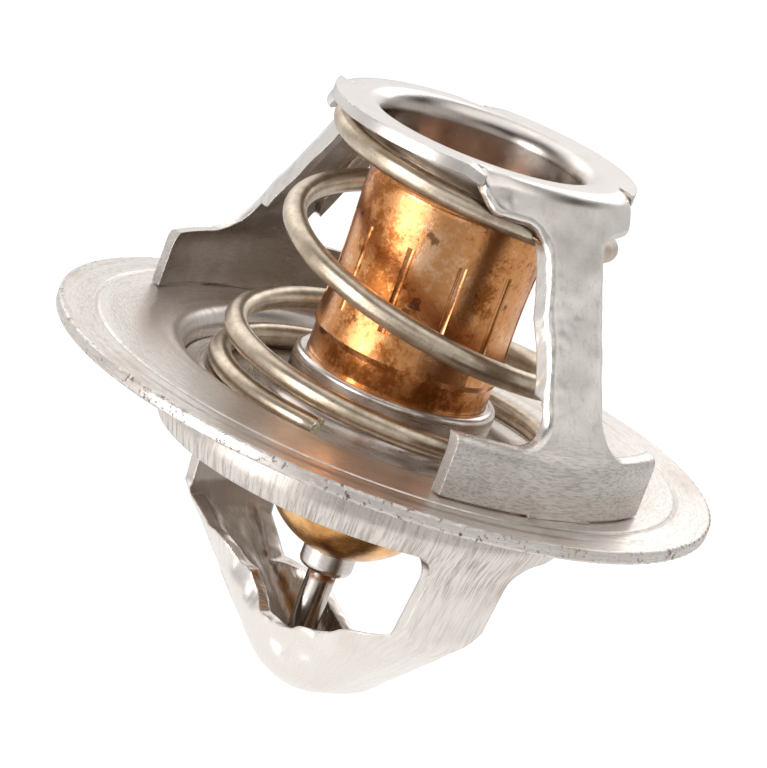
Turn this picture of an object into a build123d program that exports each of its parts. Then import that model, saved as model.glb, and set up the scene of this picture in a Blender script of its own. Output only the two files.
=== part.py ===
"""Wax-capsule engine thermostat.

The frame is one deep-drawn stainless piece: clamping flange, round skirt and a pierced bridge whose
nose carries the fixed piston rod. A stamped yoke stands on the flange and holds the return spring
down on the valve plate. The copper wax capsule slides through the yoke's collar and lifts the plate.

Frame: +Z runs along the piston from the bridge's nose towards the yoke's ring. The origin is the
centre of the flange's underside. The legs of bridge and yoke stand on the X axis. Millimetres.
"""
import os
from math import asin, atan, cos, degrees, pi, radians, sin, sqrt, tan

from build123d import *

# Flange and skirt, drawn from one sheet
FLANGE_RADIUS = 27.4
FRAME_SHEET = 1.05
RIM_ROUND = 0.2
RIM_BAND = 1.6
RIM_BAND_DROP = 0.12
GROOVE_INSET = 3.1
GROOVE_DEPTH = 0.14
SKIRT_RADIUS = 17.55
SKIRT_DEPTH = 5.7
MOUTH_BEND = 0.8
SEAT_FLARE = 0.2
SEAT_DEPTH = 2.1

# Bridge under the skirt: two strips that lead down to a trough. The trough's floor is a V with a
# round nose, a little off the axis, and its side towards -X is the longer and flatter one.
LEG_BEND_DEPTH = 4.3
LEG_BEND_DRAW_IN = 1.1
LEG_BEND_DROP = 2.7
LEG_DRAW_IN = 2.0
KNUCKLE_DEPTH = 13.5
KNUCKLE_DRAW_IN = 2.6
KNUCKLE_DROP = 3.7
LEG_BEND_ROUND = 2.2
KNUCKLE_ROUND = 3.0
LEG_HALF = 4.0
WINDOW_CORNER = 2.4
NOSE_OFFSET = 3.4
NOSE_CORNER_DEPTH = 25.3
NOSE_ROUND = 8.7
LONG_SLOPE = 28.4
SHORT_SLOPE = 44.1
TROUGH_HALF = 4.8
TROUGH_ROUND = 3.7
TROUGH_TALL = 7.3
TROUGH_TOP_DEPTH = 12.0

# Rims of the trough's walls: where along X, and how deep
RIM_END_DEPTH = 13.4
FRONT_RIM = [(-14.2, 14.0), (-9.5, 15.4), (-3.2, 16.0), (0.2, 18.3), (3.2, 18.3), (7.6, 16.2), (14.6, 12.9)]
BACK_RIM = [(-14.4, 13.8), (-8.6, 17.5), (-5.0, 16.9), (-0.6, 18.6), (1.6, 19.6), (7.6, 18.0), (14.6, 12.9)]
RIM_ROUND_BOTTOM = 0.8

# Piston rod, fixed in the nose
ROD_RADIUS = 1.2
ROD_TOP = 15.6
ROD_CHAMFER = 0.35
ROD_END_FLAT = 0.12
ROD_SEAT_DEPTH = 0.3
RUNNING_GAP = 0.05

# Valve plate
PLATE_SHEET = 0.9
PLATE_TOP = -0.8
SEAT_CONTACT_DEPTH = 1.75
SEAT_GAP = 0.04
PLATE_LAND = 0.15
PLATE_STEP = 0.3
PLATE_EDGE_ROUND = 0.3
HUB_TOP = 3.0
HUB_BASE_ROUND = 1.3
HUB_LIP_ROUND = 0.5

# Wax capsule
CAPSULE_RADIUS = 7.5
CAPSULE_WALL = 0.65
CAPSULE_TOP = 19.2
CAPSULE_TOP_ROUND = 1.1
CAPSULE_FOOT = 1.6
CRIMP_HEIGHT = 5.2
CRIMP_SWELL = 0.28
CAPSULE_WAIST_HEIGHT = 11.8
CAPSULE_TOP_SWELL = 0.2
CRIMP_LEAN = 0.1
DENT_COUNT = 11
DENT_WIDTH = 0.8
DENT_BOTTOM = 7.6
DENT_TOP = 14.7
DENT_DEPTH = 0.16
DENT_START_ANGLE = -28.0
FIT_GAP = 0.03

# Brass guide and the pieces round the piston
DOME_CENTRE = -5.2
GUIDE_TIP_RADIUS = 2.4
GUIDE_TOP = 6.0
SPIGOT_RADIUS = 1.8
SPIGOT_LENGTH = 0.9
COLLAR_RADIUS = 2.2
COLLAR_LENGTH = 1.9
COLLAR_ROUND = 0.6
WASHER_RADIUS = 2.6
WASHER_THICKNESS = 0.8
BOOT_RADIUS = 3.0
BOOT_FLANGE = 1.1
BOOT_TOP = 17.2
BOOT_END = 0.9
BOOT_GAP = 0.1

# Yoke over the spring
YOKE_SHEET = 0.9
RING_TOP = 23.6
RING_LAND = 0.7
COLLAR_GAP = 0.8
RING_LIP_BEND = 0.7
RING_COLLAR_BOTTOM = 19.6
SHOULDER_INSET = 0.35
SHOULDER_ROUND = 1.7
SHARPEST_BEND = 0.2
SHOULDER_HALF = 7.6
SHOULDER_BOTTOM_HALF = 6.9
SHOULDER_BOTTOM = 20.5
SHOULDER_CORNER = 1.2
SHOULDER_NECK = 1.7
YOKE_LEG_HALF = 2.85
YOKE_LEG_FLANGE = 0.75
YOKE_LEG_ROUND = 0.7
FOOT_OFFSET = 0.025
FOOT_CORNER = 5.67
FOOT_BEND = 3.0
FOOT_HALF = 10.35
FOOT_TOP = 6.0
FOOT_GAP = 0.12
FOOT_FILLET = 2.8
TAB_HALF = 3.2
TAB_REACH = 1.5
TAB_BEND = 0.1
SLOT_GAP = 0.06

# Return spring, wound left-handed
WIRE_RADIUS = 0.95
SPRING_START_ANGLE = -61.4
TURN_COUNT = 4.05
SPRING_SIDE_GAP = 1.7
SPRING_COLLAR_GAP = 0.7
SPRING_GAP = 0.03
TURN_POINT_COUNT = 16

# Distance within which an edge counts as lying on a size
TOUCH = 0.05


def inset(corners, distance):
    """Moves an open outline to the right of its direction by a distance."""
    points = [Vector(*corner) for corner in corners]
    normals = []
    for start, end in zip(points, points[1:]):
        run = (end - start).normalized()
        normals.append(Vector(run.Y, -run.X))
    moved = [points[0] + normals[0] * distance]
    for index in range(1, len(points) - 1):
        before = normals[index - 1]
        after = normals[index]
        moved.append(points[index] + (before + after) * (distance / (1 + before.dot(after))))
    moved.append(points[-1] + normals[-1] * distance)
    return moved


# Outline of the drawn cup, down to well below the trough that cuts it
CUP_CORNERS = [
    (SKIRT_RADIUS, -SEAT_DEPTH),
    (SKIRT_RADIUS, -LEG_BEND_DEPTH),
    (SKIRT_RADIUS - LEG_BEND_DRAW_IN, -LEG_BEND_DEPTH - LEG_BEND_DROP),
    (SKIRT_RADIUS - LEG_DRAW_IN, -KNUCKLE_DEPTH),
    (SKIRT_RADIUS - LEG_DRAW_IN - KNUCKLE_DRAW_IN, -KNUCKLE_DEPTH - KNUCKLE_DROP),
    (2 * FRAME_SHEET, -NOSE_CORNER_DEPTH - KNUCKLE_DROP),
    (0, -NOSE_CORNER_DEPTH - KNUCKLE_DROP),
]
CUP_ROUNDS = [LEG_BEND_ROUND, LEG_BEND_ROUND + FRAME_SHEET, KNUCKLE_ROUND, KNUCKLE_ROUND, 2 * FRAME_SHEET]
INNER_CORNERS = inset(CUP_CORNERS, FRAME_SHEET)
INNER_ROUNDS = [LEG_BEND_ROUND - FRAME_SHEET, LEG_BEND_ROUND + 2 * FRAME_SHEET, KNUCKLE_ROUND - FRAME_SHEET,
                KNUCKLE_ROUND - FRAME_SHEET, FRAME_SHEET]
SKIRT_BORE = SKIRT_RADIUS - FRAME_SHEET
SPRING_SEAT_RADIUS = SKIRT_BORE - SPRING_SIDE_GAP - WIRE_RADIUS
# The yoke's feet stand near the middle of the flange's flat band.
FOOT_RADIUS = (FLANGE_RADIUS + SKIRT_RADIUS) / 2 + FOOT_OFFSET

# The trough's floor line, drawn past the legs on both sides, and the height of its inside on the axis
NOSE_CORNER = (NOSE_OFFSET, -NOSE_CORNER_DEPTH)
LONG_RISE = (FLANGE_RADIUS + NOSE_OFFSET) * tan(radians(LONG_SLOPE))
SHORT_RISE = (FLANGE_RADIUS - NOSE_OFFSET) * tan(radians(SHORT_SLOPE))
TROUGH_LINE = [
    (-FLANGE_RADIUS, LONG_RISE - NOSE_CORNER_DEPTH),
    NOSE_CORNER,
    (FLANGE_RADIUS, SHORT_RISE - NOSE_CORNER_DEPTH),
]
TROUGH_FLOOR = inset(TROUGH_LINE, -FRAME_SHEET)
HALF_TURN = radians(LONG_SLOPE + SHORT_SLOPE) / 2
NOSE_LEAN = radians(SHORT_SLOPE - LONG_SLOPE) / 2
NOSE_CENTRE_REACH = NOSE_ROUND / cos(HALF_TURN)
NOSE_CENTRE_X = NOSE_OFFSET - NOSE_CENTRE_REACH * sin(NOSE_LEAN)
NOSE_CENTRE_Z = -NOSE_CORNER_DEPTH + NOSE_CENTRE_REACH * cos(NOSE_LEAN)
ROD_FOOT = NOSE_CENTRE_Z - sqrt((NOSE_ROUND - FRAME_SHEET) ** 2 - NOSE_CENTRE_X**2) - ROD_SEAT_DEPTH


def rim_corners(rim):
    """Corners of all that lies above a rim of the trough, on the plane of the legs."""
    corners = [(-FLANGE_RADIUS, -RIM_END_DEPTH)]
    corners += [(across, -depth) for across, depth in rim]
    corners += [(FLANGE_RADIUS, -rim[-1][1])]
    return corners


# Trough that cuts the cup's lower end, and all that lies above it
with BuildPart() as trough_form:
    with BuildLine() as keel:
        FilletPolyline(*[(across, 0, height) for across, height in TROUGH_LINE], radius=NOSE_ROUND)
    with BuildSketch(Plane(origin=keel.line @ 0, x_dir=(0, 1, 0), z_dir=keel.line % 0)):
        with Locations((0, TROUGH_TALL / 2)):
            Rectangle(2 * TROUGH_HALF, TROUGH_TALL)
        fillet(vertices().group_by(Axis.Y)[0], TROUGH_ROUND)
    sweep(path=keel.line)
    with BuildSketch(Plane.XY.offset(-TROUGH_TOP_DEPTH)):
        Circle(FLANGE_RADIUS + FRAME_SHEET)
    extrude(amount=TROUGH_TOP_DEPTH + 3 * FRAME_SHEET)

# Hollow between the trough's walls, open above their rims
with BuildPart() as trough_hollow:
    with BuildLine() as floor_keel:
        FilletPolyline(*[(corner.X, 0, corner.Y) for corner in TROUGH_FLOOR], radius=NOSE_ROUND - FRAME_SHEET)
    with BuildSketch(Plane(origin=floor_keel.line @ 0, x_dir=(0, 1, 0), z_dir=floor_keel.line % 0)):
        with Locations((0, TROUGH_TALL / 2)):
            Rectangle(2 * (TROUGH_HALF - FRAME_SHEET), TROUGH_TALL)
        fillet(vertices().group_by(Axis.Y)[0], TROUGH_ROUND - FRAME_SHEET)
    sweep(path=floor_keel.line)
    for rim, side in ((FRONT_RIM, 1), (BACK_RIM, -1)):
        with BuildSketch(Plane.XZ):
            with BuildLine():
                rim_line = FilletPolyline(*rim_corners(rim), radius=RIM_ROUND_BOTTOM)
                Polyline(
                    rim_line @ 1,
                    (FLANGE_RADIUS, 3 * FRAME_SHEET),
                    (-FLANGE_RADIUS, 3 * FRAME_SHEET),
                    rim_line @ 0,
                )
            make_face()
        extrude(amount=side * FLANGE_RADIUS)

# Hollow of the drawn cup: the space inside skirt, legs and trough
with BuildPart() as cup_hollow:
    with BuildSketch(Plane.XZ):
        with BuildLine():
            mouth = FilletPolyline(
                (SKIRT_BORE + SEAT_FLARE + 3 * FRAME_SHEET, FRAME_SHEET),
                (SKIRT_BORE + SEAT_FLARE, FRAME_SHEET),
                (SKIRT_BORE, -SEAT_DEPTH),
                *[(corner.X, corner.Y) for corner in INNER_CORNERS[1:]],
                radius=[MOUTH_BEND + FRAME_SHEET, LEG_BEND_ROUND, *INNER_ROUNDS],
            )
            Polyline(
                mouth @ 1,
                (0, 2 * FRAME_SHEET),
                (SKIRT_BORE + SEAT_FLARE + 3 * FRAME_SHEET, 2 * FRAME_SHEET),
                mouth @ 0,
            )
        make_face()
    revolve(axis=Axis.Z)
    add(trough_hollow.part, mode=Mode.INTERSECT)

# Flange, skirt and bridge
with BuildPart() as flange_bridge:
    with BuildSketch(Plane.XZ):
        with BuildLine():
            band = FLANGE_RADIUS - RIM_BAND
            band_step = band - 2 * RIM_BAND_DROP
            wall = FilletPolyline(
                (band_step, 0),
                (SKIRT_RADIUS + SEAT_FLARE, 0),
                *CUP_CORNERS,
                radius=[MOUTH_BEND, LEG_BEND_ROUND, *CUP_ROUNDS],
            )
            Polyline(
                wall @ 1,
                (0, FRAME_SHEET),
                (band_step, FRAME_SHEET),
                (band, FRAME_SHEET - RIM_BAND_DROP),
                (FLANGE_RADIUS, FRAME_SHEET - RIM_BAND_DROP),
                (FLANGE_RADIUS, -RIM_BAND_DROP),
                (band, -RIM_BAND_DROP),
                (band_step, 0),
            )
        make_face()
    revolve(axis=Axis.Z)
    rim_edges = edges().filter_by(GeomType.CIRCLE).filter_by(lambda e: e.radius > FLANGE_RADIUS - TOUCH)
    fillet(rim_edges, RIM_ROUND)
    # Width of the legs as seen along X. Below them the trough is the narrower form.
    with BuildSketch(Plane.YZ):
        with BuildLine():
            edge_line = FilletPolyline(
                (FLANGE_RADIUS, -SKIRT_DEPTH),
                (LEG_HALF, -SKIRT_DEPTH),
                (LEG_HALF, -KNUCKLE_DEPTH),
                (LEG_HALF + FRAME_SHEET, -KNUCKLE_DEPTH - FRAME_SHEET),
                radius=[WINDOW_CORNER, FRAME_SHEET],
            )
            Polyline(
                edge_line @ 1,
                (LEG_HALF + FRAME_SHEET, CUP_CORNERS[-1][1]),
                (0, CUP_CORNERS[-1][1]),
                (0, 2 * FRAME_SHEET),
                (FLANGE_RADIUS, 2 * FRAME_SHEET),
                edge_line @ 0,
            )
        make_face()
        mirror(about=Plane.YZ)
    extrude(amount=FLANGE_RADIUS, both=True, mode=Mode.INTERSECT)
    add(trough_form.part, mode=Mode.INTERSECT)
    add(cup_hollow.part, mode=Mode.SUBTRACT)
    # Groove pressed into the flange's top, and the flat seat of the piston rod
    with BuildSketch(Plane.XZ):
        with Locations((FLANGE_RADIUS - GROOVE_INSET, FRAME_SHEET)):
            Rectangle(2 * GROOVE_DEPTH, 2 * GROOVE_DEPTH, rotation=45)
    revolve(axis=Axis.Z, mode=Mode.SUBTRACT)
    with Locations((0, 0, ROD_FOOT)):
        Cylinder(
            ROD_RADIUS + RUNNING_GAP,
            NOSE_CENTRE_Z - ROD_FOOT,
            align=(Align.CENTER, Align.CENTER, Align.MIN),
            mode=Mode.SUBTRACT,
        )
    # Slots for the yoke's tabs
    slot_inner = FOOT_RADIUS - YOKE_SHEET - SLOT_GAP
    slot_outer = FOOT_RADIUS + SLOT_GAP
    with BuildSketch():
        with PolarLocations((slot_inner + slot_outer) / 2, 2):
            Rectangle(slot_outer - slot_inner, 2 * (TAB_HALF + SLOT_GAP))
    extrude(amount=FRAME_SHEET, mode=Mode.SUBTRACT)
flange_bridge.part.label = "flange_bridge"

# Piston rod, standing on its flat seat in the nose
with BuildPart() as piston_rod:
    with Locations((0, 0, ROD_FOOT)):
        Cylinder(ROD_RADIUS, ROD_TOP - ROD_FOOT, align=(Align.CENTER, Align.CENTER, Align.MIN))
    chamfer(edges().group_by(Axis.Z)[0], ROD_CHAMFER)
    fillet(edges().group_by(Axis.Z)[-1], ROD_RADIUS - ROD_END_FLAT)
piston_rod.part.label = "piston_rod"

# Valve plate: a pressed disc with a step for the spring and a drawn hub round the capsule
SEAT_SLOPE = SEAT_FLARE / (SEAT_DEPTH + FRAME_SHEET)
PLATE_RADIUS = SKIRT_BORE + (SEAT_DEPTH - SEAT_CONTACT_DEPTH) * SEAT_SLOPE - SEAT_GAP
HUB_BORE = CAPSULE_RADIUS + FIT_GAP
HUB_RADIUS = HUB_BORE + PLATE_SHEET
PLATE_EDGE_TOP = PLATE_TOP - PLATE_STEP
PLATE_STEP_RADIUS = SPRING_SEAT_RADIUS + WIRE_RADIUS + PLATE_LAND
PLATE_BOTTOM = PLATE_EDGE_TOP - PLATE_SHEET
with BuildPart() as valve_plate:
    with BuildSketch(Plane.XZ):
        with BuildLine():
            plate_top = FilletPolyline(
                (HUB_BORE, HUB_TOP),
                (HUB_RADIUS, HUB_TOP),
                (HUB_RADIUS, PLATE_TOP),
                (PLATE_STEP_RADIUS, PLATE_TOP),
                (PLATE_STEP_RADIUS + PLATE_STEP, PLATE_EDGE_TOP),
                (PLATE_RADIUS, PLATE_EDGE_TOP),
                (PLATE_RADIUS, PLATE_BOTTOM),
                (HUB_RADIUS + HUB_BASE_ROUND, PLATE_BOTTOM),
                radius=[
                    HUB_LIP_ROUND,
                    HUB_BASE_ROUND,
                    PLATE_EDGE_ROUND / 2,
                    PLATE_EDGE_ROUND / 2,
                    PLATE_EDGE_ROUND,
                    PLATE_EDGE_ROUND,
                ],
            )
            plate_under = FilletPolyline(
                plate_top @ 1,
                (HUB_BORE, PLATE_BOTTOM),
                (HUB_BORE, HUB_TOP),
                radius=PLATE_SHEET,
            )
        make_face()
    revolve(axis=Axis.Z)
valve_plate.part.label = "valve_plate"

# Copper capsule, closed at the top, with a crimp swell and sizing dents
CAPSULE_BORE = CAPSULE_RADIUS - CAPSULE_WALL
with BuildPart() as copper_cup:
    with BuildSketch(Plane.XZ):
        with BuildLine():
            side = Spline(
                (CAPSULE_RADIUS + CRIMP_SWELL, CRIMP_HEIGHT + CRIMP_SWELL),
                (CAPSULE_RADIUS, CAPSULE_WAIST_HEIGHT),
                (CAPSULE_RADIUS + CAPSULE_TOP_SWELL, CAPSULE_TOP - CAPSULE_TOP_ROUND),
                tangents=[(-CRIMP_LEAN, 1), (0, 1)],
            )
            shoulder = RadiusArc(
                side @ 1,
                (CAPSULE_RADIUS + CAPSULE_TOP_SWELL - CAPSULE_TOP_ROUND, CAPSULE_TOP),
                -CAPSULE_TOP_ROUND,
            )
            Polyline(
                shoulder @ 1,
                (0, CAPSULE_TOP),
                (0, CAPSULE_TOP - CAPSULE_WALL),
                (CAPSULE_BORE, CAPSULE_TOP - CAPSULE_WALL),
                (CAPSULE_BORE, CAPSULE_FOOT),
                (CAPSULE_RADIUS, CAPSULE_FOOT),
                (CAPSULE_RADIUS, CRIMP_HEIGHT - CRIMP_SWELL),
                side @ 0,
            )
        make_face()
    revolve(axis=Axis.Z)
    dent_depth_radius = CAPSULE_RADIUS + DENT_WIDTH / 2 - DENT_DEPTH
    with PolarLocations(dent_depth_radius, DENT_COUNT, start_angle=DENT_START_ANGLE):
        with Locations((0, 0, (DENT_BOTTOM + DENT_TOP) / 2)):
            Cylinder(DENT_WIDTH / 2, DENT_TOP - DENT_BOTTOM, mode=Mode.SUBTRACT)
copper_cup.part.label = "copper_cup"

# Brass guide: a domed body below the plate, closing the capsule above it
PISTON_BORE = ROD_RADIUS + RUNNING_GAP
GUIDE_RADIUS = CAPSULE_RADIUS - FIT_GAP
GUIDE_TIP = DOME_CENTRE - sqrt(GUIDE_RADIUS**2 - GUIDE_TIP_RADIUS**2)
GUIDE_NECK = CAPSULE_BORE - FIT_GAP
with BuildPart() as guide_body:
    with BuildSketch(Plane.XZ):
        with BuildLine():
            tip_angle = degrees(asin(GUIDE_TIP_RADIUS / GUIDE_RADIUS))
            dome = CenterArc((0, DOME_CENTRE), GUIDE_RADIUS, -90 + tip_angle, 90 - tip_angle)
            Polyline(
                dome @ 1,
                (GUIDE_RADIUS, CAPSULE_FOOT),
                (GUIDE_NECK, CAPSULE_FOOT),
                (GUIDE_NECK, GUIDE_TOP),
                (WASHER_RADIUS + FIT_GAP, GUIDE_TOP),
                (WASHER_RADIUS + FIT_GAP, GUIDE_TOP - WASHER_THICKNESS),
                (PISTON_BORE, GUIDE_TOP - WASHER_THICKNESS),
                (PISTON_BORE, GUIDE_TIP - SPIGOT_LENGTH),
                (SPIGOT_RADIUS, GUIDE_TIP - SPIGOT_LENGTH),
                (SPIGOT_RADIUS, GUIDE_TIP),
                dome @ 0,
            )
        make_face()
    revolve(axis=Axis.Z)
guide_body.part.label = "guide_body"

# Steel end collar pressed on the guide's spigot
with BuildPart() as steel_collar:
    with BuildSketch(Plane.XZ):
        with BuildLine():
            collar_end = GUIDE_TIP - COLLAR_LENGTH
            collar_side = FilletPolyline(
                (SPIGOT_RADIUS + FIT_GAP, GUIDE_TIP),
                (COLLAR_RADIUS, GUIDE_TIP),
                (COLLAR_RADIUS, collar_end),
                (PISTON_BORE, collar_end),
                radius=[COLLAR_ROUND / 4, COLLAR_ROUND],
            )
            Polyline(
                collar_side @ 1,
                (PISTON_BORE, GUIDE_TIP - SPIGOT_LENGTH),
                (SPIGOT_RADIUS + FIT_GAP, GUIDE_TIP - SPIGOT_LENGTH),
                collar_side @ 0,
            )
        make_face()
    revolve(axis=Axis.Z)
steel_collar.part.label = "steel_collar"

# Backing washer that keeps the rubber out of the guide's bore
with BuildPart() as backing_washer:
    with Locations((0, 0, GUIDE_TOP)):
        Cylinder(WASHER_RADIUS, WASHER_THICKNESS, align=(Align.CENTER, Align.CENTER, Align.MAX))
    Hole(PISTON_BORE)
backing_washer.part.label = "backing_washer"

# Rubber boot round the piston's end, clamped at its flange
with BuildPart() as rubber_boot:
    with BuildSketch(Plane.XZ):
        with BuildLine():
            Polyline(
                (ROD_RADIUS + BOOT_GAP, GUIDE_TOP),
                (CAPSULE_BORE - FIT_GAP, GUIDE_TOP),
                (CAPSULE_BORE - FIT_GAP, GUIDE_TOP + BOOT_FLANGE),
                (BOOT_RADIUS, GUIDE_TOP + BOOT_FLANGE),
                (BOOT_RADIUS, BOOT_TOP),
                (0, BOOT_TOP),
                (0, BOOT_TOP - BOOT_END),
                (ROD_RADIUS + BOOT_GAP, BOOT_TOP - BOOT_END),
                close=True,
            )
        make_face()
    revolve(axis=Axis.Z)
    fillet(edges().filter_by(GeomType.CIRCLE).group_by(Axis.Z)[-1], BOOT_RADIUS / 3)
rubber_boot.part.label = "rubber_boot"

# Wax charge that fills the capsule round the boot
with BuildPart() as wax_charge:
    with BuildSketch(Plane.XZ):
        with BuildLine():
            Polyline(
                (BOOT_RADIUS + FIT_GAP, GUIDE_TOP + BOOT_FLANGE),
                (CAPSULE_BORE - FIT_GAP, GUIDE_TOP + BOOT_FLANGE),
                (CAPSULE_BORE - FIT_GAP, CAPSULE_TOP - CAPSULE_WALL),
                (0, CAPSULE_TOP - CAPSULE_WALL),
                (0, BOOT_TOP),
                (BOOT_RADIUS + FIT_GAP, BOOT_TOP),
                close=True,
            )
        make_face()
    revolve(axis=Axis.Z)
wax_charge.part.label = "wax_charge"

# Yoke legs: a thick form with rounded outer edges, less a form that leaves one sheet of it
RING_BORE = CAPSULE_RADIUS + COLLAR_GAP
SPRING_TOP_RADIUS = RING_BORE + YOKE_SHEET + SPRING_COLLAR_GAP + WIRE_RADIUS
RING_RADIUS = SPRING_TOP_RADIUS + WIRE_RADIUS + RING_LAND
SHOULDER_REACH = RING_RADIUS - SHOULDER_INSET
LEAN = (FOOT_RADIUS - SHOULDER_REACH) / (RING_TOP - FOOT_CORNER)
FOOT_BOTTOM = FRAME_SHEET + FOOT_GAP
LIP_END = RING_BORE + YOKE_SHEET + RING_LIP_BEND
SHOULDER_TURN = pi / 2 - atan(LEAN)
SHOULDER_START = SHOULDER_REACH - SHOULDER_ROUND * tan(SHOULDER_TURN / 2)
YOKE_LINE = [
    (LIP_END, RING_TOP),
    (SHOULDER_REACH, RING_TOP),
    (FOOT_RADIUS, FOOT_CORNER),
    (FOOT_RADIUS, FOOT_BOTTOM),
]


def yoke_line(depth):
    """Corners of the yoke's section, a depth below its outer skin."""
    return [(corner.X, corner.Y) for corner in inset(YOKE_LINE, depth)]


def yoke_rounds(depth):
    """Bend radii of the yoke's section, a depth below its outer skin."""
    return [max(SHOULDER_ROUND - depth, SHARPEST_BEND), FOOT_BEND + depth]


with BuildPart() as leg_hollow:
    with BuildSketch(Plane.XZ):
        with BuildLine():
            lining = FilletPolyline(*yoke_line(YOKE_SHEET), radius=yoke_rounds(YOKE_SHEET))
            Polyline(lining @ 1, (0, FOOT_BOTTOM), (0, RING_TOP - YOKE_SHEET), lining @ 0)
        make_face()
    revolve(axis=Axis.Z)
    with BuildSketch(Plane.YZ):
        with BuildLine():
            channel = FilletPolyline(
                (FLANGE_RADIUS, SHOULDER_BOTTOM - YOKE_LEG_FLANGE),
                (YOKE_LEG_HALF - YOKE_SHEET, SHOULDER_BOTTOM - YOKE_LEG_FLANGE),
                (YOKE_LEG_HALF - YOKE_SHEET, FOOT_TOP + FOOT_FILLET),
                (FLANGE_RADIUS, FOOT_TOP),
                radius=[YOKE_SHEET, FOOT_FILLET],
            )
            Polyline(
                channel @ 1,
                (FLANGE_RADIUS, 0),
                (0, 0),
                (0, RING_TOP),
                (FLANGE_RADIUS, RING_TOP),
                channel @ 0,
            )
        make_face()
        mirror(about=Plane.YZ)
    extrude(amount=FLANGE_RADIUS, both=True, mode=Mode.INTERSECT)

with BuildPart() as yoke_legs:
    flange_depth = YOKE_SHEET + YOKE_LEG_FLANGE
    with BuildSketch(Plane.XZ):
        with BuildLine():
            skin = FilletPolyline(*YOKE_LINE, radius=yoke_rounds(0))
            back = FilletPolyline(*yoke_line(flange_depth), radius=yoke_rounds(flange_depth))
            Line(skin @ 0, back @ 0)
            Line(skin @ 1, back @ 1)
        make_face()
    revolve(axis=Axis.Z)
    with BuildSketch(Plane.YZ):
        with BuildLine():
            outline = FilletPolyline(
                (SHOULDER_HALF, RING_TOP + YOKE_SHEET),
                (SHOULDER_HALF, (SHOULDER_BOTTOM + RING_TOP) / 2),
                (SHOULDER_BOTTOM_HALF, SHOULDER_BOTTOM),
                (YOKE_LEG_HALF, SHOULDER_BOTTOM),
                (YOKE_LEG_HALF, FOOT_TOP),
                (FOOT_HALF, FOOT_TOP),
                radius=[SHOULDER_CORNER, SHOULDER_CORNER, SHOULDER_NECK, FOOT_FILLET],
            )
            Polyline(outline @ 1, (FOOT_HALF, 0), (0, 0), (0, RING_TOP + YOKE_SHEET), outline @ 0)
        make_face()
        mirror(about=Plane.YZ)
    extrude(amount=FLANGE_RADIUS, both=True, mode=Mode.INTERSECT)
    leg_edges = edges().filter_by(
        lambda e: abs(abs(e.center().Y) - YOKE_LEG_HALF) < TOUCH
        and e.length > FOOT_FILLET
        and abs(e.center().X) > SHOULDER_REACH + (RING_TOP - e.center().Z) * LEAN - flange_depth / 2
    )
    fillet(leg_edges, YOKE_LEG_ROUND)
    add(leg_hollow.part, mode=Mode.SUBTRACT)

with BuildPart() as spring_yoke:
    # Ring with its rolled collar, open where the shoulders take over
    with BuildSketch(Plane.XZ):
        with BuildLine():
            lip_top = FilletPolyline(
                (RING_RADIUS, RING_TOP),
                (RING_BORE, RING_TOP),
                (RING_BORE, RING_COLLAR_BOTTOM),
                radius=RING_LIP_BEND + YOKE_SHEET,
            )
            lip_under = FilletPolyline(
                (RING_RADIUS, RING_TOP - YOKE_SHEET),
                (RING_BORE + YOKE_SHEET, RING_TOP - YOKE_SHEET),
                (RING_BORE + YOKE_SHEET, RING_COLLAR_BOTTOM),
                radius=RING_LIP_BEND,
            )
            Line(lip_top @ 0, lip_under @ 0)
            Line(lip_top @ 1, lip_under @ 1)
        make_face()
    revolve(axis=Axis.Z)
    with BuildSketch(Plane.XY.offset(RING_TOP)):
        Circle(RING_RADIUS + YOKE_SHEET)
        Rectangle(4 * RING_RADIUS, 2 * SHOULDER_HALF, mode=Mode.INTERSECT)
        Circle(SHOULDER_START, mode=Mode.SUBTRACT)
    extrude(amount=-YOKE_SHEET, mode=Mode.SUBTRACT)
    add(yoke_legs.part)
    # Tabs through the flange's slots, bent outwards beneath it
    with BuildSketch(Plane.XZ):
        with BuildLine():
            tab_outer = FilletPolyline(
                (FOOT_RADIUS, FOOT_BOTTOM),
                (FOOT_RADIUS, 0),
                (FOOT_RADIUS + TAB_REACH, 0),
                radius=TAB_BEND,
            )
            tab_inner = FilletPolyline(
                (FOOT_RADIUS - YOKE_SHEET, FOOT_BOTTOM),
                (FOOT_RADIUS - YOKE_SHEET, -YOKE_SHEET),
                (FOOT_RADIUS + TAB_REACH, -YOKE_SHEET),
                radius=TAB_BEND + YOKE_SHEET,
            )
            Line(tab_outer @ 0, tab_inner @ 0)
            Line(tab_outer @ 1, tab_inner @ 1)
        make_face()
        mirror(about=Plane.YZ)
    extrude(amount=TAB_HALF, both=True)
spring_yoke.part.label = "spring_yoke"

# Return spring: heights and radii of the wire's centre at a few turns, joined smoothly
SPRING_FOOT = PLATE_TOP + WIRE_RADIUS + SPRING_GAP
SPRING_HEAD = RING_TOP - YOKE_SHEET - WIRE_RADIUS - SPRING_GAP
RISE_RATIOS = [(0.0, 0.0), (0.3, 0.0), (1.0, 0.108), (1.4, 0.185), (1.8, 0.36), (2.2, 0.61),
               (2.7, 0.85), (3.0, 0.95), (3.35, 1.0), (4.1, 1.0)]
DRAW_RATIOS = [(0.0, 0.0), (0.9, 0.04), (1.4, 0.2), (1.8, 0.38), (2.2, 0.58), (2.7, 0.66),
               (3.1, 0.98), (3.4, 1.0), (4.1, 1.0)]


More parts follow.
